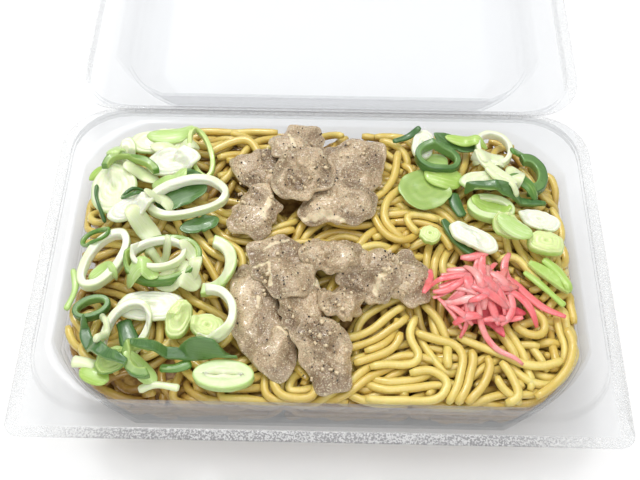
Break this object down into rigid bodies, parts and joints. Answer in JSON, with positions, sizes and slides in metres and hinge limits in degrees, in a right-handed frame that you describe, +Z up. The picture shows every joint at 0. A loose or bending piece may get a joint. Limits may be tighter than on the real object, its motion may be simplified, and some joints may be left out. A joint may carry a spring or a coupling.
{
  "type": "yakisoba in a clear hinged-lid pack",
  "caption": "Fried noodles with pork slices, cut scallion and pickled ginger in a clear rectangular food pack, its hinged lid opened flat behind the tray.",
  "frame": {"origin": "on the table under the middle of the hinge line between tray and open lid", "axes": "+X to the right along the hinge, +Y from the tray towards the open lid, +Z up"},
  "size_m": [0.2, 0.272, 0.0446],
  "materials": {
    "clear_plastic": "clear thin formed sheet, glossy, stippled flange",
    "noodle": "oily cooked wheat noodle",
    "pork": "cooked thin-sliced pork, moist, peppered",
    "scallion_white": "white part of the stalk, moist",
    "scallion_pale": "pale green part of the stalk, moist",
    "scallion_lime": "yellow-green part of the stalk, moist",
    "scallion_green": "green leaf",
    "scallion_dark": "dark green leaf",
    "pickled_ginger": "moist pink-red strips"
  },
  "bodies": {
    "tray_body": {"tray": "clear_plastic", "noodles": "noodle", "pork_left_back": "pork", "pork_left_front": "pork", "pork_peak": "pork", "pork_right_back": "pork", "pork_fat_edge": "pork", "pork_upper_curl": "pork", "pork_long_tongue": "pork", "pork_middle": "pork", "pork_front_tongue": "pork", "pork_left_fold": "pork", "pork_right_end": "pork", "pork_right_fold": "pork", "pork_bridge": "pork", "pork_lower_curl": "pork", "scallion_ring_01": "scallion_lime", "scallion_arc_01": "scallion_green", "scallion_ring_02": "scallion_white", "scallion_ring_03": "scallion_white", "scallion_arc_02": "scallion_pale", "scallion_ring_04": "scallion_green", "scallion_ring_05": "scallion_white", "scallion_arc_03": "scallion_white", "scallion_ring_06": "scallion_dark", "scallion_ring_07": "scallion_white", "scallion_arc_04": "scallion_green", "scallion_ring_08": "scallion_pale", "scallion_ring_09": "scallion_white", "scallion_ring_10": "scallion_dark", "scallion_arc_05": "scallion_dark", "scallion_ring_11": "scallion_pale", "scallion_slice_01": "scallion_pale", "scallion_slice_02": "scallion_pale", "scallion_slice_03": "scallion_white", "scallion_slice_04": "scallion_pale", "scallion_leaf_01": "scallion_dark", "scallion_leaf_02": "scallion_dark", "scallion_slice_05": "scallion_white", "scallion_slice_06": "scallion_white", "scallion_slice_07": "scallion_lime", "scallion_slice_08": "scallion_lime", "scallion_slice_09": "scallion_green", "scallion_slice_10": "scallion_white", "scallion_leaf_03": "scallion_dark", "scallion_leaf_04": "scallion_green", "scallion_slice_11": "scallion_pale", "scallion_slice_12": "scallion_white", "scallion_slice_13": "scallion_lime", "scallion_slice_14": "scallion_lime", "scallion_slice_15": "scallion_white", "scallion_slice_16": "scallion_lime", "scallion_strip_01": "scallion_dark", "scallion_strip_02": "scallion_dark", "scallion_strip_03": "scallion_white", "scallion_strip_04": "scallion_dark", "scallion_strip_05": "scallion_dark", "scallion_strip_06": "scallion_lime", "pickled_ginger": "pickled_ginger"},
    "lid_body": {"lid": "clear_plastic"}
  },
  "joints": [
    {"name": "lid_hinge", "type": "hinge", "parent": "tray_body", "child": "lid_body", "pos_m": [0, 0, 0.0262], "axis": [1, 0, 0], "range_deg": [0, 180]}
  ]
}
